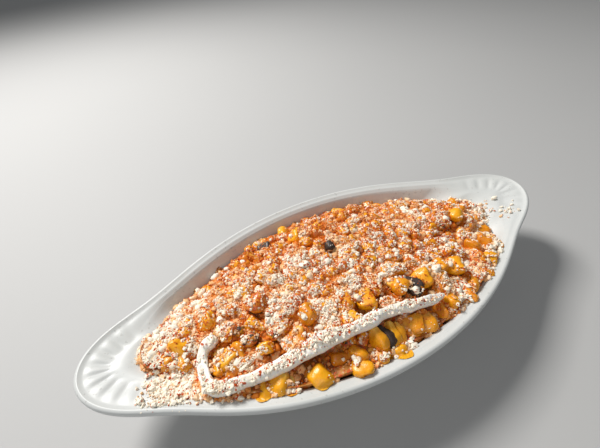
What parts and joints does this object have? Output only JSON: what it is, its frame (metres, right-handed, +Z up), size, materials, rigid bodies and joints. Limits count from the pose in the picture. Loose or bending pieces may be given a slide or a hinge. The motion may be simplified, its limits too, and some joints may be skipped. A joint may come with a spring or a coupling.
{
  "type": "off-the-cob elote in an oval gratin dish",
  "caption": "Roasted corn heaped in a white oval porcelain gratin dish with fluted ears, topped with a poured ribbon of crema, crumbled cheese and chili powder.",
  "frame": {"origin": "on the table plane, under the middle of the oval dish", "axes": "+X along the dish from ear to ear, +Y across the dish, away from the side with the bare kernels and the crema ribbon, +Z up"},
  "size_m": [0.23, 0.1056, 0.0449],
  "materials": {
    "porcelain": "glossy white glaze",
    "corn": "moist roasted corn kernels, golden yellow to orange, under crumbled cheese and chili powder",
    "crema": "thick smooth cream, slightly shiny"
  },
  "bodies": {
    "root": {"dish": "porcelain", "corn_heap": "corn", "crema": "crema"}
  },
  "joints": []
}
